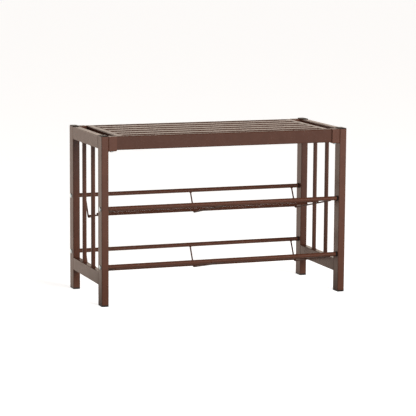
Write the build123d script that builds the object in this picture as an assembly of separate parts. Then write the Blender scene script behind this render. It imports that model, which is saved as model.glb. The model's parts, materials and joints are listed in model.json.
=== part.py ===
from build123d import *
import os

# Slatted steel entryway bench with two sloping wire shoe shelves.
# Frame: +X along the width, +Y to the back, +Z up. Origin: on the floor, at the middle of the footprint.
# Sizes are in millimetres. "left" is -X and "front" is -Y.

# Overall size, over the leg tubes and the leg caps
WIDTH = 770.0
DEPTH = 330.0
HEIGHT = 500.0

# Legs: upright rectangular tubes with a plastic cap on top and a plastic foot below
LEG_X = 21.5
LEG_Y = 38.0
TUBE_WALL = 1.2
TUBE_CORNER = 3.0
CAP_HEIGHT = 2.5
CAP_ROUND = 1.6
FOOT_HEIGHT = 5.0
FOOT_ROUND = 0.8
PLUG_DEPTH = 14.0
PLUG_WALL = 1.8
PLUG_CLEARANCE = 0.1

# Side frames: two rails and two round uprights between each pair of legs
SIDE_RAIL_Z = 38.0
LOWER_RAIL_BOTTOM = 59.8
UPRIGHT_D = 12.7
ROUND_WALL = 1.0
UPRIGHTS_PER_SIDE = 2

# Seat: two long rails, two end tubes, and slats between the end tubes
SEAT_TOP = 497.0
SEAT_RAIL_Y = 15.0
SEAT_RAIL_Z = 40.0
SEAT_RAIL_SETBACK = 4.5
SEAT_RAIL_END_GAP = 3.5
END_TUBE_X = 20.0
END_TUBE_Z = 20.0
END_TUBE_OUTER = 333.5
SLATS = 5
SLAT_Y = 30.0
SLAT_Z = 15.0
SLAT_CORNER = 1.5
SLAT_WALL = 1.0

# Seat brackets: pockets of folded sheet on the legs that the seat rails drop into
BRACKET_X = 25.0
BRACKET_WALL = 3.0
BRACKET_SIDE_GAP = 1.0
BRACKET_CHAMFER = 2.5
SEAT_SCREW_D = 6.0
SEAT_SCREW_HEAD_D = 11.0
SEAT_SCREW_HEAD_Z = 3.0
SEAT_SCREW_LENGTH = 10.0
SEAT_NUT_FLATS = 10.0
SEAT_NUT_Z = 5.0

# Shelves: two round tubes carry bent cross wires, and the cross wires carry long rods
SHELF_TUBE_Z = {"lower": 114.6, "upper": 285.5}
SHELF_TUBE_D = 12.7
SHELF_TUBE_Y = 149.0
WIRE_D = 4.5
WIRE_X = {"left": -340.0, "middle": 0.0, "right": 340.0}
WIRE_CORNER_Y = 118.0
WIRE_CORNER_DROP = 64.5
WIRE_BEND_RADIUS = 7.0
WIRE_WELD_REACH = 4.0
ROD_D = 5.0
ROD_HALF_LENGTH = 342.0
ROD_END_CHAMFER = 0.5
ROD_Y = {"front": -60.0, "middle": 26.0, "back": 112.0}
WELD_SINK = 0.2

# Shelf fixings: a domed bolt through the leg into a threaded insert, with a plastic spacer between
SPACER_D = 15.5
SPACER_X = 3.0
INSERT_X = 14.0
BOLT_D = 6.0
BOLT_HEAD_D = 14.0
BOLT_HEAD_X = 3.2
BOLT_LENGTH = 34.0
BOLT_CLEARANCE = 0.3
THREAD_CLEARANCE = 0.05

# Values worked out from the ones above
HALF_WIDTH = WIDTH / 2
HALF_DEPTH = DEPTH / 2
LEG_CENTRE_X = HALF_WIDTH - LEG_X / 2
LEG_CENTRE_Y = HALF_DEPTH - LEG_Y / 2
LEG_INNER_X = HALF_WIDTH - LEG_X
LEG_INNER_Y = HALF_DEPTH - LEG_Y
LEG_TOP = HEIGHT - CAP_HEIGHT
TOP_RAIL_BOTTOM = LEG_TOP - SIDE_RAIL_Z
LOWER_RAIL_TOP = LOWER_RAIL_BOTTOM + SIDE_RAIL_Z
SEAT_RAIL_CENTRE_Y = HALF_DEPTH - SEAT_RAIL_SETBACK - SEAT_RAIL_Y / 2
SEAT_RAIL_INNER_Y = SEAT_RAIL_CENTRE_Y - SEAT_RAIL_Y / 2
SEAT_RAIL_HALF_LENGTH = LEG_INNER_X - SEAT_RAIL_END_GAP
SEAT_RAIL_BOTTOM = SEAT_TOP - SEAT_RAIL_Z
END_TUBE_INNER = END_TUBE_OUTER - END_TUBE_X
BRACKET_CENTRE_X = LEG_INNER_X - BRACKET_X / 2
SHELF_TUBE_HALF_LENGTH = LEG_INNER_X - SPACER_X

SIDES = {"left": -1, "right": 1}
ENDS = {"front": -1, "back": 1}
CORNERS = {f"{end}_{side}": (sx, sy) for end, sy in ENDS.items() for side, sx in SIDES.items()}


def rect_tube(size_x, size_y, length, corner=TUBE_CORNER, wall=TUBE_WALL):
    """Rectangular tube standing on the origin, along +Z."""
    outer = RectangleRounded(size_x, size_y, corner)
    inner = RectangleRounded(size_x - 2 * wall, size_y - 2 * wall, corner - wall / 2)
    return extrude(outer - inner, length)


def round_tube(diameter, length, wall=ROUND_WALL):
    """Round tube standing on the origin, along +Z."""
    return extrude(Circle(diameter / 2) - Circle(diameter / 2 - wall), length)


def along_x(shape, start):
    """Lay a shape that stands along +Z so that it runs along +X from start, its own X turned to +Y."""
    return Plane(origin=start, x_dir=(0, 1, 0), z_dir=(1, 0, 0)) * shape


def along_y(shape, start):
    """Lay a shape that stands along +Z so that it runs along +Y from start, its own X kept."""
    return Plane(origin=start, x_dir=(1, 0, 0), z_dir=(0, 1, 0)) * shape


def rod_x(diameter, x_low, x_high, y, z):
    """Solid round bar along X."""
    return along_x(extrude(Circle(diameter / 2), x_high - x_low), (x_low, y, z))


def leg(sx, sy):
    """Leg tube with a pair of bolt holes for each shelf."""
    x = sx * LEG_CENTRE_X
    y = sy * LEG_CENTRE_Y
    tube = Pos(x, y, FOOT_HEIGHT) * rect_tube(LEG_X, LEG_Y, LEG_TOP - FOOT_HEIGHT)
    hole_d = BOLT_D + 2 * BOLT_CLEARANCE
    for z in SHELF_TUBE_Z.values():
        tube -= rod_x(hole_d, x - LEG_X, x + LEG_X, sy * SHELF_TUBE_Y, z)
    return tube


def leg_plug(head_height, head_round):
    """Plastic plug: a rounded head as large as the tube on a hollow body. The head is up."""
    head = extrude(RectangleRounded(LEG_X, LEG_Y, TUBE_CORNER), head_height)
    head = fillet(head.edges().group_by(Axis.Z)[-1], head_round)
    inset = 2 * (TUBE_WALL + PLUG_CLEARANCE)
    outer = RectangleRounded(LEG_X - inset, LEG_Y - inset, TUBE_CORNER)
    hollow_inset = inset + 2 * PLUG_WALL
    hollow = RectangleRounded(LEG_X - hollow_inset, LEG_Y - hollow_inset, TUBE_CORNER / 2)
    return head + extrude(outer - hollow, -PLUG_DEPTH)


def leg_cap(sx, sy):
    """Domed cap on top of a leg."""
    return Pos(sx * LEG_CENTRE_X, sy * LEG_CENTRE_Y, LEG_TOP) * leg_plug(CAP_HEIGHT, CAP_ROUND)


def foot(sx, sy):
    """Foot plug under a leg."""
    plug = Rot(180, 0, 0) * leg_plug(FOOT_HEIGHT, FOOT_ROUND)
    return Pos(sx * LEG_CENTRE_X, sy * LEG_CENTRE_Y, FOOT_HEIGHT) * plug


def side_rail(sx, bottom):
    """Side rail between the front and the back leg, flush with their outer faces."""
    tube = rect_tube(LEG_X, SIDE_RAIL_Z, 2 * LEG_INNER_Y)
    return along_y(tube, (sx * LEG_CENTRE_X, -LEG_INNER_Y, bottom + SIDE_RAIL_Z / 2))


def upright_places():
    """Y of each upright: equal gaps between the legs."""
    gap = (2 * LEG_INNER_Y - UPRIGHTS_PER_SIDE * UPRIGHT_D) / (UPRIGHTS_PER_SIDE + 1)
    first = -LEG_INNER_Y + gap + UPRIGHT_D / 2
    return [first + i * (gap + UPRIGHT_D) for i in range(UPRIGHTS_PER_SIDE)]


def upright(sx, y):
    """Round upright between the lower and the top side rail."""
    return Pos(sx * LEG_CENTRE_X, y, LOWER_RAIL_TOP) * round_tube(UPRIGHT_D, TOP_RAIL_BOTTOM - LOWER_RAIL_TOP)


def seat_rail(sy):
    """Long seat rail, with a screw hole through its bottom wall near each end."""
    y = sy * SEAT_RAIL_CENTRE_Y
    tube = rect_tube(SEAT_RAIL_Y, SEAT_RAIL_Z, 2 * SEAT_RAIL_HALF_LENGTH)
    rail = along_x(tube, (-SEAT_RAIL_HALF_LENGTH, y, SEAT_TOP - SEAT_RAIL_Z / 2))
    for sx in SIDES.values():
        rail -= screw_hole(sx, y)
    return rail


def screw_hole(sx, y):
    """Clearance cylinder for a seat screw, through the bracket's floor and the rail's bottom wall."""
    radius = SEAT_SCREW_D / 2 + BOLT_CLEARANCE
    low = SEAT_RAIL_BOTTOM - 2 * BRACKET_WALL
    high = SEAT_RAIL_BOTTOM + 2 * TUBE_WALL
    return Pos(sx * BRACKET_CENTRE_X, y, low) * extrude(Circle(radius), high - low)


def end_tube(sx):
    """Seat tube across one end, between the seat rails."""
    tube = rect_tube(END_TUBE_X, END_TUBE_Z, 2 * SEAT_RAIL_INNER_Y)
    x = sx * (END_TUBE_OUTER - END_TUBE_X / 2)
    return along_y(tube, (x, -SEAT_RAIL_INNER_Y, SEAT_TOP - END_TUBE_Z / 2))


def slat_places():
    """Y of each slat: equal gaps between the seat rails."""
    gap = (2 * SEAT_RAIL_INNER_Y - SLATS * SLAT_Y) / (SLATS + 1)
    first = -SEAT_RAIL_INNER_Y + gap + SLAT_Y / 2
    return [first + i * (gap + SLAT_Y) for i in range(SLATS)]


def slat(y):
    """Flat seat slat between the end tubes."""
    tube = rect_tube(SLAT_Y, SLAT_Z, 2 * END_TUBE_INNER, SLAT_CORNER, SLAT_WALL)
    return along_x(tube, (-END_TUBE_INNER, y, SEAT_TOP - SLAT_Z / 2))


def bracket(sx, sy):
    """Pocket of folded sheet on a leg's inner face, open at the top and at its free end, for a seat rail."""
    outer_y = SEAT_RAIL_Y + 2 * (BRACKET_SIDE_GAP + BRACKET_WALL)
    height = SEAT_RAIL_Z + BRACKET_WALL
    low = SEAT_RAIL_BOTTOM - BRACKET_WALL
    y = sy * SEAT_RAIL_CENTRE_Y
    block = Pos(sx * BRACKET_CENTRE_X, y, low + height / 2) * Box(BRACKET_X, outer_y, height)
    bottom_folds = block.edges().filter_by(Axis.X).group_by(Axis.Z)[0]
    leg_folds = block.edges().filter_by(Axis.Z).group_by(Axis.X)[-1 if sx > 0 else 0]
    block = fillet([*bottom_folds, *leg_folds], BRACKET_WALL)
    pocket = Box(BRACKET_X, outer_y - 2 * BRACKET_WALL, 2 * SEAT_RAIL_Z)
    block -= Pos(sx * (BRACKET_CENTRE_X - BRACKET_WALL), y, SEAT_RAIL_BOTTOM + SEAT_RAIL_Z) * pocket
    block -= Pos(sx * (LEG_INNER_X - BRACKET_X), y, low) * bracket_corner_cut(outer_y)
    return block - screw_hole(sx, y)


def bracket_corner_cut(width):
    """Bar that cuts the bracket's free bottom edge at 45 degrees."""
    side = BRACKET_CHAMFER * 2 ** 0.5
    return Rot(0, 45, 0) * Box(side, 2 * width, side)


def seat_screw(sx, sy):
    """Button-head screw that holds a seat rail in its bracket from below."""
    seat_z = SEAT_RAIL_BOTTOM - BRACKET_WALL
    shank = extrude(Circle(SEAT_SCREW_D / 2), SEAT_SCREW_LENGTH)
    head = extrude(Circle(SEAT_SCREW_HEAD_D / 2), -SEAT_SCREW_HEAD_Z)
    head = fillet(head.edges().group_by(Axis.Z)[0], SEAT_SCREW_HEAD_Z / 2)
    return Pos(sx * BRACKET_CENTRE_X, sy * SEAT_RAIL_CENTRE_Y, seat_z) * (head + shank)


def seat_nut(sx, sy):
    """Hexagonal nut on the bottom wall inside a seat rail."""
    hexagon = RegularPolygon(SEAT_NUT_FLATS / 2, 6, major_radius=False)
    ring = hexagon - Circle(SEAT_SCREW_D / 2 + THREAD_CLEARANCE)
    z = SEAT_RAIL_BOTTOM + TUBE_WALL
    return Pos(sx * BRACKET_CENTRE_X, sy * SEAT_RAIL_CENTRE_Y, z) * extrude(ring, SEAT_NUT_Z)


def shelf_tube(sy, z):
    """Round shelf tube between the spacers on the legs."""
    tube = round_tube(SHELF_TUBE_D, 2 * SHELF_TUBE_HALF_LENGTH)
    return along_x(tube, (-SHELF_TUBE_HALF_LENGTH, sy * SHELF_TUBE_Y, z))


def shelf_tube_solid(sy, z):
    """The space that a shelf tube takes up, used to shape the wire ends that are welded to it."""
    return rod_x(SHELF_TUBE_D, -HALF_WIDTH, HALF_WIDTH, sy * SHELF_TUBE_Y, z)


def cross_wire(x, tube_z):
    """Wire from under the back tube down to a corner, then forward and up to under the front tube."""
    under_tube = tube_z - SHELF_TUBE_D / 2
    corner = Vector(x, WIRE_CORNER_Y, tube_z - WIRE_CORNER_DROP)
    back = Vector(x, SHELF_TUBE_Y, under_tube)
    back_end = back + (back - corner).normalized() * WIRE_WELD_REACH
    front_end = Vector(x, -SHELF_TUBE_Y, under_tube)
    path = FilletPolyline(back_end, corner, front_end, radius=WIRE_BEND_RADIUS)
    section = Plane(origin=path @ 0, z_dir=path % 0) * Circle(WIRE_D / 2)
    wire = sweep(section, path)
    for sy in ENDS.values():
        wire -= shelf_tube_solid(sy, tube_z)
    return wire


def wire_axis_z(y, tube_z):
    """Height of the cross wires' axis on their forward run."""
    rise = WIRE_CORNER_DROP - SHELF_TUBE_D / 2
    run = WIRE_CORNER_Y + SHELF_TUBE_Y
    return tube_z - WIRE_CORNER_DROP + (WIRE_CORNER_Y - y) * rise / run


def shelf_rod(y, tube_z, wires):
    """Long rod on top of the cross wires, sunk a little into each weld."""
    z = wire_axis_z(y, tube_z) + (WIRE_D + ROD_D) / 2 - WELD_SINK
    rod = rod_x(ROD_D, -ROD_HALF_LENGTH, ROD_HALF_LENGTH, y, z)
    rod = chamfer(rod.edges().filter_by(GeomType.CIRCLE), ROD_END_CHAMFER)
    for wire in wires:
        rod -= wire
    return rod


def spacer(sx, sy, z):
    """Plastic spacer between a leg and the end of a shelf tube."""
    ring = Circle(SPACER_D / 2) - Circle(BOLT_D / 2 + BOLT_CLEARANCE)
    start = min(sx * LEG_INNER_X, sx * SHELF_TUBE_HALF_LENGTH)
    return along_x(extrude(ring, SPACER_X), (start, sy * SHELF_TUBE_Y, z))


def insert(sx, sy, z):
    """Threaded insert in the end of a shelf tube."""
    outer_radius = SHELF_TUBE_D / 2 - ROUND_WALL
    ring = Circle(outer_radius) - Circle(BOLT_D / 2 + THREAD_CLEARANCE)
    start = min(sx * SHELF_TUBE_HALF_LENGTH, sx * (SHELF_TUBE_HALF_LENGTH - INSERT_X))
    return along_x(extrude(ring, INSERT_X), (start, sy * SHELF_TUBE_Y, z))


def shelf_bolt(sx, sy, z):
    """Domed bolt from outside the leg into the insert."""
    radius = BOLT_HEAD_D / 2
    sphere_radius = (radius ** 2 + BOLT_HEAD_X ** 2) / (2 * BOLT_HEAD_X)
    ball = Pos(0, 0, BOLT_HEAD_X - sphere_radius) * Sphere(sphere_radius)
    head = ball & extrude(Circle(radius), BOLT_HEAD_X)
    shank = extrude(Circle(BOLT_D / 2), -BOLT_LENGTH)
    seat = Plane(origin=(sx * HALF_WIDTH, sy * SHELF_TUBE_Y, z), x_dir=(0, 1, 0), z_dir=(sx, 0, 0))
    return seat * (head + shank)


def at_corners(make, *args):
    """The same piece at all four corners, as one group of separate solids."""
    return Compound(children=[make(sx, sy, *args) for sx, sy in CORNERS.values()])


def side_frame_nodes():
    """Legs with their caps and feet, side rails and uprights."""
    nodes = {}
    for corner, (sx, sy) in CORNERS.items():
        nodes[f"leg_{corner}"] = leg(sx, sy)
        nodes[f"leg_cap_{corner}"] = leg_cap(sx, sy)
        nodes[f"foot_{corner}"] = foot(sx, sy)
    for side, sx in SIDES.items():
        nodes[f"side_top_rail_{side}"] = side_rail(sx, TOP_RAIL_BOTTOM)
        nodes[f"side_lower_rail_{side}"] = side_rail(sx, LOWER_RAIL_BOTTOM)
        for end, y in zip(ENDS, upright_places()):
            nodes[f"upright_{end}_{side}"] = upright(sx, y)
    return nodes


def seat_nodes():
    """Seat rails, end tubes, slats, brackets and their fasteners."""
    nodes = {}
    for end, sy in ENDS.items():
        nodes[f"seat_rail_{end}"] = seat_rail(sy)
    for side, sx in SIDES.items():
        nodes[f"seat_end_tube_{side}"] = end_tube(sx)
    for number, y in enumerate(slat_places(), start=1):
        nodes[f"seat_slat_{number}"] = slat(y)
    for corner, (sx, sy) in CORNERS.items():
        nodes[f"seat_bracket_{corner}"] = bracket(sx, sy)
    nodes["seat_screws"] = at_corners(seat_screw)
    nodes["seat_nuts"] = at_corners(seat_nut)
    return nodes


def shelf_nodes(level, z):
    """Tubes, wires, rods and fixings of one shelf."""
    nodes = {}
    for end, sy in ENDS.items():
        nodes[f"{level}_shelf_tube_{end}"] = shelf_tube(sy, z)
    wires = {name: cross_wire(x, z) for name, x in WIRE_X.items()}
    for name, wire in wires.items():
        nodes[f"{level}_shelf_wire_{name}"] = wire
    for name, y in ROD_Y.items():
        nodes[f"{level}_shelf_rod_{name}"] = shelf_rod(y, z, wires.values())
    nodes[f"{level}_shelf_spacers"] = at_corners(spacer, z)
    nodes[f"{level}_shelf_inserts"] = at_corners(insert, z)
    nodes[f"{level}_shelf_bolts"] = at_corners(shelf_bolt, z)
    return nodes


def main():
    """Build every node and write one STEP file for each."""
    os.makedirs("parts", exist_ok=True)
    nodes = side_frame_nodes()
    nodes.update(seat_nodes())
    for level, z in SHELF_TUBE_Z.items():
        nodes.update(shelf_nodes(level, z))
    for name, shape in nodes.items():
        export_step(shape, f"parts/{name}.step")


main()
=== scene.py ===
import json
import math

import bmesh
import bpy
from mathutils import Matrix, Vector


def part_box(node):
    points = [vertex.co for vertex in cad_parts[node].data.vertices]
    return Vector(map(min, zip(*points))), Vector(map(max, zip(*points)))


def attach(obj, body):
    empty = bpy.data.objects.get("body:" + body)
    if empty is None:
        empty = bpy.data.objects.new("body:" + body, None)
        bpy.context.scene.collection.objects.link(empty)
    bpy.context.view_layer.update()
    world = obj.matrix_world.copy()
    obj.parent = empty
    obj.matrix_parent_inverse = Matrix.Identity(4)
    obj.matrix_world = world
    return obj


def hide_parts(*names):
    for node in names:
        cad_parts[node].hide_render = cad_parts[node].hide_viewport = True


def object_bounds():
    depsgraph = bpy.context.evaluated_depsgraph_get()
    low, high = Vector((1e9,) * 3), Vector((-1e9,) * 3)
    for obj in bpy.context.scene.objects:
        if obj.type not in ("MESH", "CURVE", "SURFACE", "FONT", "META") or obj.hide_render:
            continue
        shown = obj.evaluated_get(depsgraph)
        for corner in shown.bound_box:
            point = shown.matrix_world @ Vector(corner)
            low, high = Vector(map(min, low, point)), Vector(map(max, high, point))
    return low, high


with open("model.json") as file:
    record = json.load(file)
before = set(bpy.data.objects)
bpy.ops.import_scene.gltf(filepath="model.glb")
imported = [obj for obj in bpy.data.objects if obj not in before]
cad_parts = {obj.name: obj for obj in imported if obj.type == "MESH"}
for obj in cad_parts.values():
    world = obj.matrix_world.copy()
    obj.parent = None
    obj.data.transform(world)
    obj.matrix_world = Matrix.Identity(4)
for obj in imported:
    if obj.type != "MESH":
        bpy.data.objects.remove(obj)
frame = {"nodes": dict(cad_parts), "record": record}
cad_low, cad_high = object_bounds()
MM = 0.001

# Camera: place and far limit in metres, angles in degrees, lens and sensor in millimetres
CAMERA_PLACE = Vector((-1.9987, -5.3912, 1.1038))
CAMERA_FAR = 200.0
CAMERA_YAW = 20.369
CAMERA_PITCH = 8.439
CAMERA_ROLL = 0.366
CAMERA_LENS = 165.79
SENSOR = 36.0

# Names that the CAD nodes are made of
SIDES = {"left": -1, "right": 1}
ENDS = {"front": -1, "back": 1}
WIRES = ("left", "middle", "right")
RODS = ("front", "middle", "back")

# Corner radii of the CAD tubes and slats
TUBE_CORNER = 3.0 * MM
SLAT_CORNER = 1.5 * MM

# Weld bead: distance between its rings, points in each, ripple height as a share of its radius, rings in a
# ripple, size of its tip and growth per ring from there, as shares too, and a direction that no bead runs along
BEAD_STEP = 0.55 * MM
BEAD_SIDES = 8
BEAD_RIPPLE = 0.10
BEAD_RIPPLE_STATIONS = 4
BEAD_TIP = 0.35
BEAD_TIP_GROWTH = 0.3
OFF_EVERY_BEAD = Vector((0.31, 0.62, 0.72))

# Weld beads' radii, and how far a bead's middle line stands off the surfaces that it joins
RING_BEAD = 1.5 * MM
RING_STAND = RING_BEAD / 4
RING_LIFT = RING_BEAD / 3
RAIL_BEAD = 1.7 * MM
RAIL_STAND = RAIL_BEAD / 4
SLAT_BEAD = 1.3 * MM
SLAT_STAND = SLAT_BEAD / 4
WIRE_BEAD = 1.1 * MM
WIRE_STAND = WIRE_BEAD / 3
SPOT_BEAD = 0.8 * MM

# Beads under the shelf tubes, and spots beside the wires where the rods cross: half lengths, how high a spot
# sits, its distance from the wire's middle as a share of the wire's radius, and roughly how steeply wires rise
WIRE_BEAD_REACH = 4.5 * MM
SPOT_REACH = 1.6 * MM
SPOT_LIFT = 0.2 * MM
SPOT_PLACE = 0.55
SHELF_SLOPE = 0.22

# Depth of a bead in the groove beside a leg, and how far a bracket's bead stops short of the side that shows
GROOVE_SINK = 1.0 * MM
BRACKET_GAP = 3.0 * MM

# Bolt, in millimetres and degrees: radius and height of each turned ring, a hexagon socket, softened edges, and
# how far the front and the back bolt are turned, so that their sockets don't line up
BOLT_PROFILE = [(2.2, -34.0), (3.0, -33.2), (3.0, -0.2), (6.9, 0.0), (7.0, 0.5), (6.75, 1.2), (6.1, 1.9),
                (5.2, 2.5), (4.2, 2.95), (3.2, 3.2)]
BOLT_SIDES = 48
SOCKET_FLATS = 4.0
SOCKET_DEPTH = 2.1
BOLT_SOFT_EDGE = 0.25
BOLT_EDGE_STEPS = 2
BOLT_EDGE_ANGLE = 50
BOLT_TURN_FRONT = 17.0
BOLT_TURN_BACK = 41.0

# Cap: height as a share of the whole, inset and corner radius in millimetres
CAP_PROFILE = [(0.0, 0.5, 2.5), (0.10, 0.5, 2.5), (0.14, 0.0, 3.0), (0.42, 0.0, 3.0), (0.60, 0.35, 2.8),
               (0.76, 1.1, 2.6), (0.88, 2.4, 2.4), (0.96, 4.6, 2.0), (1.0, 7.8, 1.5)]
CAP_CORNER_STEPS = 6

# Colours of the materials, and the part of the noise that the change from dark to light takes
PAINT_DARK = (0.080, 0.0280, 0.0155)
PAINT_LIGHT = (0.092, 0.0330, 0.0185)
PLASTIC_DARK = (0.012, 0.012, 0.011)
PLASTIC_LIGHT = (0.020, 0.019, 0.018)
ZINC_DARK = (0.74, 0.88, 0.94)
ZINC_LIGHT = (0.82, 0.95, 0.99)
TONE_START = 0.3
TONE_END = 0.7

# Powder coat of the frame, the seat and the wires: brightness, specular level and lowest roughness
COAT = {"brightness": 1.0, "shine": 0.50, "roughness": 0.24}
# The seat's brightness under 1 is painted shade: the frame's coat darkened to stand in for the shade it is in
SHADED_SEAT_COAT = {"brightness": 0.74, "shine": 0.42, "roughness": 0.24}
# The wires' brightness under 1 is painted shade as well; their lower specular level and higher roughness make
# them duller
SHADED_WIRE_COAT = {"brightness": 0.85, "shine": 0.15, "roughness": 0.45}
COAT_ROUGHNESS_CHANGE = 0.10

# Key light: place and side in metres, power in watts
KEY_PLACE = (0.9, -3.2, 1.5)
KEY_SIZE = 2.0
KEY_POWER = 132.0

# Studio: radiance by sine of the height above the horizon, and from the front, 0, to the back, 1
BY_HEIGHT = [(0.0, (1.0, 1.0, 1.0)), (0.22, (0.95, 0.95, 0.95)), (0.45, (0.12, 0.12, 0.12))]
BY_SIDE = [(0.0, (0.70, 0.68, 0.66)), (0.45, (0.70, 0.62, 0.55)), (1.0, (1.50, 1.27, 1.08))]

# Floor: size and reach in metres, what is seen of it, and the radiance that it throws back, from FLOOR_REACH in
# front of the bench's middle, 0, to as far behind it, 1
FLOOR_SIZE = 120.0
FLOOR_DROP = 0.1 * MM
FLOOR_TONE = (0.9, 0.9, 0.9, 1.0)
FLOOR_ROUGHNESS = 0.9
FLOOR_GLOW = 0.80
FLOOR_REACH = 4.0
FLOOR_BY_DEPTH = [(0.0, (1.0, 0.98, 0.96)), (0.19, (0.9, 0.88, 0.86)), (0.40, (0.45, 0.43, 0.41)),
                  (0.48, (0.24, 0.22, 0.20)), (0.53, (0.75, 0.65, 0.56)), (0.57, (0.98, 0.84, 0.73)),
                  (0.69, (0.98, 0.84, 0.73))]
WHITE = (1.0, 1.0, 1.0, 1.0)


# ---------------------------------------------------------------- node helpers

def new_material(name):
    """An empty node material, its Principled node and its node tree."""
    material = bpy.data.materials.new(name)
    material.use_nodes = True
    tree = material.node_tree
    return material, tree, tree.nodes["Principled BSDF"]


def noise(tree, scale, detail):
    """Noise in object coordinates, so that its size is the same on every piece. Scale is per metre."""
    coordinates = tree.nodes.new("ShaderNodeTexCoord")
    node = tree.nodes.new("ShaderNodeTexNoise")
    node.inputs["Scale"].default_value = scale
    node.inputs["Detail"].default_value = detail
    tree.links.new(coordinates.outputs["Object"], node.inputs["Vector"])
    return node.outputs["Fac"]


def ramp(tree, value, stops):
    """Colour ramp on a value, from (place, colour) stops."""
    node = tree.nodes.new("ShaderNodeValToRGB")
    elements = node.color_ramp.elements
    while len(elements) < len(stops):
        elements.new(1.0)
    for element, (place, colour) in zip(elements, stops):
        element.position = place
        element.color = (*colour, 1.0)
    tree.links.new(value, node.inputs["Fac"])
    return node.outputs["Color"]


def spread(tree, value, low, high):
    """Map a value from 0..1 to low..high."""
    node = tree.nodes.new("ShaderNodeMapRange")
    node.inputs["To Min"].default_value = low
    node.inputs["To Max"].default_value = high
    tree.links.new(value, node.inputs["Value"])
    return node.outputs["Result"]


def bump(tree, height, strength, distance, below=None):
    """Bump from a height, on top of another bump if there is one. Distance is in metres."""
    node = tree.nodes.new("ShaderNodeBump")
    node.inputs["Strength"].default_value = strength
    node.inputs["Distance"].default_value = distance
    tree.links.new(height, node.inputs["Height"])
    if below is not None:
        tree.links.new(below, node.inputs["Normal"])
    return node.outputs["Normal"]


def tones(tree, value, dark, light):
    """Colour that changes from dark to light over the middle of a noise."""
    return ramp(tree, value, [(TONE_START, dark), (TONE_END, light)])


def seen_or_lit(tree, seen, lit):
    """One shader for what is seen directly, another for the light that falls on the object."""
    mix = tree.nodes.new("ShaderNodeMixShader")
    path = tree.nodes.new("ShaderNodeLightPath")
    tree.links.new(path.outputs["Is Camera Ray"], mix.inputs[0])
    tree.links.new(lit, mix.inputs[1])
    tree.links.new(seen, mix.inputs[2])
    return mix.outputs[0]


# ---------------------------------------------------------------- materials

def powder_coat(name, brightness, shine, roughness):
    """Semi-gloss brown powder coat: orange peel, fine grain and slight tone changes."""
    material, tree, shader = new_material(name)
    shader.inputs["Specular IOR Level"].default_value = shine
    # A brightness under 1 darkens the coat's colour: painted shade
    dark = tuple(brightness * value for value in PAINT_DARK)
    light = tuple(brightness * value for value in PAINT_LIGHT)
    tone = tones(tree, noise(tree, scale=38.0, detail=4.0), dark, light)
    tree.links.new(tone, shader.inputs["Base Color"])
    gloss = spread(tree, noise(tree, scale=40.0, detail=0.0), roughness, roughness + COAT_ROUGHNESS_CHANGE)
    tree.links.new(gloss, shader.inputs["Roughness"])
    peel = bump(tree, noise(tree, scale=620.0, detail=1.0), strength=0.22, distance=0.00010)
    grain = bump(tree, noise(tree, scale=1900.0, detail=1.0), strength=0.12, distance=0.00003, below=peel)
    tree.links.new(grain, shader.inputs["Normal"])
    return material


def moulded_plastic():
    """Black moulded plastic with a fine spark-eroded grain."""
    material, tree, shader = new_material("black_moulded_plastic")
    tone = tones(tree, noise(tree, scale=120.0, detail=3.0), PLASTIC_DARK, PLASTIC_LIGHT)
    tree.links.new(tone, shader.inputs["Base Color"])
    gloss = spread(tree, noise(tree, scale=300.0, detail=2.0), low=0.38, high=0.52)
    tree.links.new(gloss, shader.inputs["Roughness"])
    grain = bump(tree, noise(tree, scale=3200.0, detail=3.0), strength=0.4, distance=0.00005)
    tree.links.new(grain, shader.inputs["Normal"])
    return material


def zinc_plate():
    """Bright zinc plated steel with a faint blue cast and fine uneven gloss."""
    material, tree, shader = new_material("bright_zinc_plate")
    shader.inputs["Metallic"].default_value = 1.0
    tone = tones(tree, noise(tree, scale=420.0, detail=4.0), ZINC_DARK, ZINC_LIGHT)
    tree.links.new(tone, shader.inputs["Base Color"])
    gloss = spread(tree, noise(tree, scale=900.0, detail=3.0), low=0.30, high=0.46)
    tree.links.new(gloss, shader.inputs["Roughness"])
    grain = bump(tree, noise(tree, scale=1800.0, detail=2.0), strength=0.2, distance=0.00003)
    tree.links.new(grain, shader.inputs["Normal"])
    return material


def dress_nodes(paint, shaded_seat_paint, shaded_wire_paint, plastic, zinc):
    """Give every CAD node its material, by the record's slot for it.

    The seat and the wires get a darker, duller version of the same coat. Its darker colour is painted shade,
    there only to match how bright they look, and is not a different finish.
    """
    by_slot = {"brown_paint": paint, "black_plastic": plastic, "zinc_steel": zinc}
    slots = {part["node"]: part["material_slot"] for part in frame["record"]["subparts"]}
    for name, node in frame["nodes"].items():
        material = by_slot[slots[name]]
        # The seat and the wires get darker copies of the coat: painted shade
        if name.startswith(("seat_rail_", "seat_slat_", "seat_end_tube_")):
            material = shaded_seat_paint
        elif "_wire_" in name or "_rod_" in name:
            material = shaded_wire_paint
        node.data.materials.clear()
        node.data.materials.append(material)


# ---------------------------------------------------------------- mesh helpers

def add_piece(name, shape, material):
    """Turn a finished bmesh into a smooth-shaded piece that rides on the bench."""
    bmesh.ops.recalc_face_normals(shape, faces=shape.faces)
    for face in shape.faces:
        face.smooth = True
    mesh = bpy.data.meshes.new(name)
    shape.to_mesh(mesh)
    shape.free()
    mesh.materials.append(material)
    piece = bpy.data.objects.new(name, mesh)
    bpy.context.scene.collection.objects.link(piece)
    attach(piece, "root")
    return piece


def skin(shape, rings, closed=False):
    """Join rings of points, all of one count, into a tube. An open tube gets both ends closed."""
    rows = [[shape.verts.new(point) for point in ring] for ring in rings]
    pairs = list(zip(rows, rows[1:]))
    if closed:
        pairs.append((rows[-1], rows[0]))
    for row, following in pairs:
        for i in range(len(row)):
            j = (i + 1) % len(row)
            shape.faces.new((row[i], row[j], following[j], following[i]))
    if not closed:
        shape.faces.new(rows[0])
        shape.faces.new(rows[-1])


def stations(corners, step):
    """Points along straight runs between corners, about one step apart."""
    points = [corners[0].copy()]
    for start, end in zip(corners, corners[1:]):
        count = max(1, round((end - start).length / step))
        points.extend(start.lerp(end, k / count) for k in range(1, count + 1))
    return points


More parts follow.
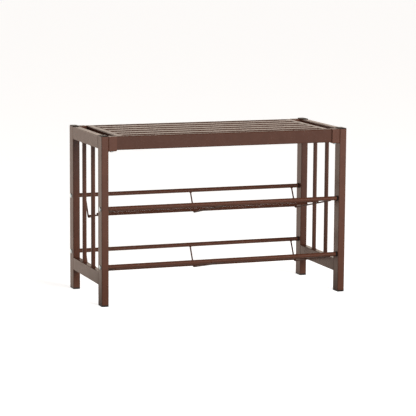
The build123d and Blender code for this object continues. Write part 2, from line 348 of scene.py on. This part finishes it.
def lay_bead(shape, points, radius, closed=False):
    """Weld bead along points: overlapping ripples, and rounded ends unless it is a closed ring."""
    rings = []
    last = len(points) - 1
    for i, point in enumerate(points):
        before = points[i - 1] if i or closed else point
        after = points[(i + 1) % len(points)] if i < last or closed else point
        along = (after - before).normalized()
        across = along.cross(OFF_EVERY_BEAD).normalized()
        third = along.cross(across)
        size = radius * (1.0 + BEAD_RIPPLE * math.cos(2.0 * math.pi * i / BEAD_RIPPLE_STATIONS))
        if not closed:
            size *= min(1.0, BEAD_TIP + BEAD_TIP_GROWTH * min(i, last - i))
        turns = [2.0 * math.pi * k / BEAD_SIDES for k in range(BEAD_SIDES)]
        rings.append([point + size * (math.cos(a) * across + math.sin(a) * third) for a in turns])
    skin(shape, rings, closed)


def bead_line(shape, corners, radius):
    """Weld bead along straight runs between corners."""
    lay_bead(shape, stations(corners, BEAD_STEP), radius)


def bead_ring(shape, centre, ring_radius, radius):
    """Weld bead once round an upright tube."""
    ripples = round(2.0 * math.pi * ring_radius / (BEAD_STEP * BEAD_RIPPLE_STATIONS))
    count = ripples * BEAD_RIPPLE_STATIONS
    turns = [2.0 * math.pi * k / count for k in range(count)]
    points = [centre + ring_radius * Vector((math.cos(a), math.sin(a), 0.0)) for a in turns]
    lay_bead(shape, points, radius, closed=True)


# ---------------------------------------------------------------- welds

def weld_side_frame(side, paint):
    """Rings at the uprights' ends, and beads where the side rails meet the legs."""
    shape = bmesh.new()
    sign = SIDES[side]
    for end in ENDS:
        low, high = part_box(f"upright_{end}_{side}")
        middle = (low + high) / 2
        radius = (high.x - low.x) / 2
        for z in (low.z + RING_LIFT, high.z - RING_LIFT):
            bead_ring(shape, Vector((middle.x, middle.y, z)), radius + RING_STAND, RING_BEAD)
    for rail in ("top", "lower"):
        low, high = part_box(f"side_{rail}_rail_{side}")
        inner_x, outer_x = (low.x, high.x) if sign > 0 else (high.x, low.x)
        near_in = inner_x + sign * TUBE_CORNER
        near_out = outer_x - sign * TUBE_CORNER
        for y, back in ((low.y, 1), (high.y, -1)):
            beside = y + back * RAIL_STAND
            groove_x = inner_x + sign * GROOVE_SINK
            groove_y = y - back * GROOVE_SINK
            across_under = [Vector((x, beside, low.z - RAIL_STAND)) for x in (near_out, near_in)]
            bead_line(shape, across_under, RAIL_BEAD)
            up_groove = [Vector((groove_x, groove_y, z)) for z in (low.z + TUBE_CORNER, high.z - TUBE_CORNER)]
            bead_line(shape, up_groove, RAIL_BEAD)
            if rail == "lower":
                across_over = [Vector((x, beside, high.z + RAIL_STAND)) for x in (near_out, near_in)]
                bead_line(shape, across_over, RAIL_BEAD)
    add_piece(f"side_frame_welds_{side}", shape, paint)


def weld_seat(side, paint):
    """Beads under and beside the slats' ends, and where the end tube meets the seat rails."""
    shape = bmesh.new()
    sign = SIDES[side]
    tube_low, tube_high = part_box(f"seat_end_tube_{side}")
    inner_x = tube_low.x if sign > 0 else tube_high.x
    slats = sorted(name for name in frame["nodes"] if name.startswith("seat_slat_"))
    for name in slats:
        low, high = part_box(name)
        x = inner_x - sign * SLAT_STAND
        front, back, under = low.y - SLAT_STAND, high.y + SLAT_STAND, low.z - SLAT_STAND
        top = high.z - SLAT_CORNER - SLAT_BEAD
        trough = ((front, top), (front, under), (back, under), (back, top))
        bead_line(shape, [Vector((x, y, z)) for y, z in trough], SLAT_BEAD)
    left, right, under = tube_low.x - SLAT_STAND, tube_high.x + SLAT_STAND, tube_low.z - SLAT_STAND
    top = tube_high.z - TUBE_CORNER - SLAT_BEAD
    for y in (tube_low.y + SLAT_STAND, tube_high.y - SLAT_STAND):
        trough = ((left, top), (left, under), (right, under), (right, top))
        bead_line(shape, [Vector((x, y, z)) for x, z in trough], SLAT_BEAD)
    add_piece(f"seat_welds_{side}", shape, paint)


def weld_brackets(side, paint):
    """Beads that hold the seat brackets to the legs: along the bottom and up the hidden side."""
    shape = bmesh.new()
    sign = SIDES[side]
    for end, facing in ENDS.items():
        low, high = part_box(f"seat_bracket_{end}_{side}")
        x = (high.x if sign > 0 else low.x) - sign * SLAT_STAND
        hidden, shown = (high.y, low.y) if facing < 0 else (low.y, high.y)
        start, corner = shown - facing * BRACKET_GAP, hidden - facing * SLAT_STAND
        under, top = low.z - SLAT_STAND, high.z - SLAT_BEAD
        route = ((start, under), (corner, under), (corner, top))
        bead_line(shape, [Vector((x, y, z)) for y, z in route], SLAT_BEAD)
    add_piece(f"bracket_welds_{side}", shape, paint)


def weld_shelf(level, paint):
    """Beads beside each cross wire's ends, and spot welds where the rods cross the wires."""
    shape = bmesh.new()
    for wire in WIRES:
        low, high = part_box(f"{level}_shelf_wire_{wire}")
        middle = (low.x + high.x) / 2
        beside = (high.x - low.x) / 2
        for end in ENDS:
            tube_low, tube_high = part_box(f"{level}_shelf_tube_{end}")
            y = (tube_low.y + tube_high.y) / 2
            z = tube_low.z - WIRE_STAND
            for x in (middle - beside, middle + beside):
                run = [Vector((x, y - WIRE_BEAD_REACH, z)), Vector((x, y + WIRE_BEAD_REACH, z))]
                bead_line(shape, run, WIRE_BEAD)
        for rod in RODS:
            rod_low, rod_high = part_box(f"{level}_shelf_rod_{rod}")
            y = (rod_low.y + rod_high.y) / 2
            for x in (middle - beside * SPOT_PLACE, middle + beside * SPOT_PLACE):
                spot = Vector((x, y, rod_low.z + SPOT_LIFT))
                reach = Vector((0.0, SPOT_REACH, -SPOT_REACH * SHELF_SLOPE))
                bead_line(shape, [spot - reach, spot + reach], SPOT_BEAD)
    add_piece(f"{level}_shelf_welds", shape, paint)


# ---------------------------------------------------------------- bolts and caps

def hexagon_reach(angle, flats):
    """Distance from a hexagon's centre to its outline in one direction."""
    off_flat = (angle + math.pi / 6) % (math.pi / 3) - math.pi / 6
    return flats / 2 / math.cos(off_flat)


def bolt_rings():
    """Rings of a domed bolt along +Z: shank tip, seat under the head, dome, socket and socket floor."""
    turns = [2.0 * math.pi * k / BOLT_SIDES for k in range(BOLT_SIDES)]
    rings = [[Vector((r * MM * math.cos(a), r * MM * math.sin(a), z * MM)) for a in turns]
             for r, z in BOLT_PROFILE]
    crown = BOLT_PROFILE[-1][1]
    for z in (crown, crown - SOCKET_DEPTH):
        reach = [hexagon_reach(a, SOCKET_FLATS) * MM for a in turns]
        rings.append([Vector((r * math.cos(a), r * math.sin(a), z * MM)) for r, a in zip(reach, turns)])
    return rings


def make_bolts(level, zinc):
    """Four domed socket bolts of one shelf, in place of the plain CAD ones."""
    low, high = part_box(f"{level}_shelf_bolts")
    z = (low.z + high.z) / 2
    radius = (high.z - low.z) / 2
    leg_outer_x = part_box("leg_front_right")[1].x
    shape = bmesh.new()
    for sx in SIDES.values():
        for y, turn in ((low.y + radius, BOLT_TURN_FRONT), (high.y - radius, BOLT_TURN_BACK)):
            across = Matrix.Rotation(sx * math.pi / 2, 4, "Y")
            spin = Matrix.Rotation(math.radians(turn * sx), 4, "Z")
            place = Matrix.Translation((sx * leg_outer_x, y, z)) @ across @ spin
            skin(shape, [[place @ point for point in ring] for ring in bolt_rings()])
    bolts = add_piece(f"{level}_shelf_socket_bolts", shape, zinc)
    bevel = bolts.modifiers.new("soft_edges", "BEVEL")
    bevel.width = BOLT_SOFT_EDGE * MM
    bevel.segments = BOLT_EDGE_STEPS
    bevel.angle_limit = math.radians(BOLT_EDGE_ANGLE)
    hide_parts(f"{level}_shelf_bolts")


def rounded_outline(size_x, size_y, corner, steps):
    """Points round a rectangle with round corners, centred on the origin."""
    points = []
    for quarter, (sx, sy) in enumerate(((1, 1), (-1, 1), (-1, -1), (1, -1))):
        centre = Vector((sx * (size_x / 2 - corner), sy * (size_y / 2 - corner), 0.0))
        for k in range(steps + 1):
            angle = math.pi / 2 * (quarter + k / steps)
            points.append(centre + corner * Vector((math.cos(angle), math.sin(angle), 0.0)))
    return points


def make_cap(corner_name, plastic):
    """Crowned leg cap with a fine shadow gap above the tube, in place of the plain CAD one."""
    low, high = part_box(f"leg_cap_{corner_name}")
    leg_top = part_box(f"leg_{corner_name}")[1].z
    middle = (low + high) / 2
    size = high - low
    rings = []
    for height, inset, corner in CAP_PROFILE:
        less = 2 * inset * MM
        outline = rounded_outline(size.x - less, size.y - less, corner * MM, CAP_CORNER_STEPS)
        centre = Vector((middle.x, middle.y, leg_top + height * (high.z - leg_top)))
        rings.append([centre + point for point in outline])
    shape = bmesh.new()
    skin(shape, rings)
    cap = add_piece(f"crowned_cap_{corner_name}", shape, plastic)
    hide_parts(f"leg_cap_{corner_name}")


# ---------------------------------------------------------------- stage

def make_camera():
    """Long lens from the front left, looking down on the seat."""
    yaw, pitch, roll = (math.radians(v) for v in (CAMERA_YAW, CAMERA_PITCH, CAMERA_ROLL))
    ahead = Vector((math.sin(yaw) * math.cos(pitch), math.cos(yaw) * math.cos(pitch), -math.sin(pitch)))
    level = Vector((math.cos(yaw), -math.sin(yaw), 0.0))
    upright = level.cross(ahead)
    right = math.cos(roll) * level + math.sin(roll) * upright
    up = math.cos(roll) * upright - math.sin(roll) * level
    data = bpy.data.cameras.new("camera")
    data.sensor_width = SENSOR
    data.lens = CAMERA_LENS
    data.clip_end = CAMERA_FAR
    camera = bpy.data.objects.new("camera", data)
    turn = Matrix((right, up, -ahead)).transposed().to_4x4()
    camera.matrix_world = Matrix.Translation(CAMERA_PLACE) @ turn
    bpy.context.scene.collection.objects.link(camera)
    bpy.context.scene.camera = camera


def make_world():
    """Studio that is bright low behind the object, darker in front and overhead, on a white backdrop."""
    world = bpy.data.worlds.new("studio")
    world.use_nodes = True
    tree = world.node_tree
    split = tree.nodes.new("ShaderNodeSeparateXYZ")
    tree.links.new(tree.nodes.new("ShaderNodeTexCoord").outputs["Generated"], split.inputs["Vector"])
    side = tree.nodes.new("ShaderNodeMapRange")
    side.inputs["From Min"].default_value = -1.0
    tree.links.new(split.outputs["Y"], side.inputs["Value"])
    product = tree.nodes.new("ShaderNodeVectorMath")
    product.operation = "MULTIPLY"
    tree.links.new(ramp(tree, split.outputs["Z"], BY_HEIGHT), product.inputs[0])
    tree.links.new(ramp(tree, side.outputs["Result"], BY_SIDE), product.inputs[1])
    studio = tree.nodes["Background"]
    tree.links.new(product.outputs[0], studio.inputs["Color"])
    backdrop = tree.nodes.new("ShaderNodeBackground")
    backdrop.inputs["Color"].default_value = WHITE
    seen = seen_or_lit(tree, backdrop.outputs[0], studio.outputs[0])
    tree.links.new(seen, tree.nodes["World Output"].inputs["Surface"])
    bpy.context.scene.world = world


def make_floor():
    """Plain pale floor, clear from below. It throws back least light where the bench's front stands."""
    mesh = bpy.data.meshes.new("floor")
    shape = bmesh.new()
    bmesh.ops.create_grid(shape, x_segments=1, y_segments=1, size=FLOOR_SIZE / 2)
    shape.to_mesh(mesh)
    shape.free()
    floor = bpy.data.objects.new("floor", mesh)
    floor.location = (0.0, 0.0, cad_low.z - FLOOR_DROP)
    material, tree, shader = new_material("pale_floor")
    shader.inputs["Base Color"].default_value = FLOOR_TONE
    shader.inputs["Roughness"].default_value = FLOOR_ROUGHNESS
    shader.inputs["Specular IOR Level"].default_value = 0.0
    shader.inputs["Emission Color"].default_value = WHITE
    shader.inputs["Emission Strength"].default_value = FLOOR_GLOW
    split = tree.nodes.new("ShaderNodeSeparateXYZ")
    tree.links.new(tree.nodes.new("ShaderNodeTexCoord").outputs["Object"], split.inputs["Vector"])
    depth = tree.nodes.new("ShaderNodeMapRange")
    depth.inputs["From Min"].default_value = -FLOOR_REACH
    depth.inputs["From Max"].default_value = FLOOR_REACH
    tree.links.new(split.outputs["Y"], depth.inputs["Value"])
    bounce = tree.nodes.new("ShaderNodeEmission")
    tree.links.new(ramp(tree, depth.outputs["Result"], FLOOR_BY_DEPTH), bounce.inputs["Color"])
    seen = seen_or_lit(tree, shader.outputs[0], bounce.outputs[0])
    clear_below = tree.nodes.new("ShaderNodeMixShader")
    tree.links.new(tree.nodes.new("ShaderNodeNewGeometry").outputs["Backfacing"], clear_below.inputs[0])
    tree.links.new(seen, clear_below.inputs[1])
    tree.links.new(tree.nodes.new("ShaderNodeBsdfTransparent").outputs[0], clear_below.inputs[2])
    tree.links.new(clear_below.outputs[0], tree.nodes["Material Output"].inputs["Surface"])
    mesh.materials.append(material)
    bpy.context.scene.collection.objects.link(floor)


def make_key_light():
    """Soft square area light aimed at the middle of the bench."""
    data = bpy.data.lights.new("key", "AREA")
    data.energy = KEY_POWER
    data.size = KEY_SIZE
    light = bpy.data.objects.new("key", data)
    aim = (cad_low + cad_high) / 2 - Vector(KEY_PLACE)
    light.location = KEY_PLACE
    light.rotation_mode = "QUATERNION"
    light.rotation_quaternion = aim.to_track_quat("-Z", "Y")
    light.visible_camera = False
    light.visible_glossy = False
    bpy.context.scene.collection.objects.link(light)


# ---------------------------------------------------------------- build

paint = powder_coat("brown_powder_coat", **COAT)
# Darker copies of the frame's coat for the seat and the wires: painted shade
shaded_seat_paint = powder_coat("brown_powder_coat_seat_painted_shade", **SHADED_SEAT_COAT)
shaded_wire_paint = powder_coat("brown_powder_coat_wire", **SHADED_WIRE_COAT)
plastic = moulded_plastic()
zinc = zinc_plate()
dress_nodes(paint, shaded_seat_paint, shaded_wire_paint, plastic, zinc)
for side in SIDES:
    weld_side_frame(side, paint)
    weld_seat(side, shaded_seat_paint)
    weld_brackets(side, paint)
    for end in ENDS:
        make_cap(f"{end}_{side}", plastic)
for level in ("lower", "upper"):
    weld_shelf(level, paint)
    make_bolts(level, zinc)
make_floor()
make_world()
make_key_light()
make_camera()
bpy.context.scene.view_settings.view_transform = "Standard"
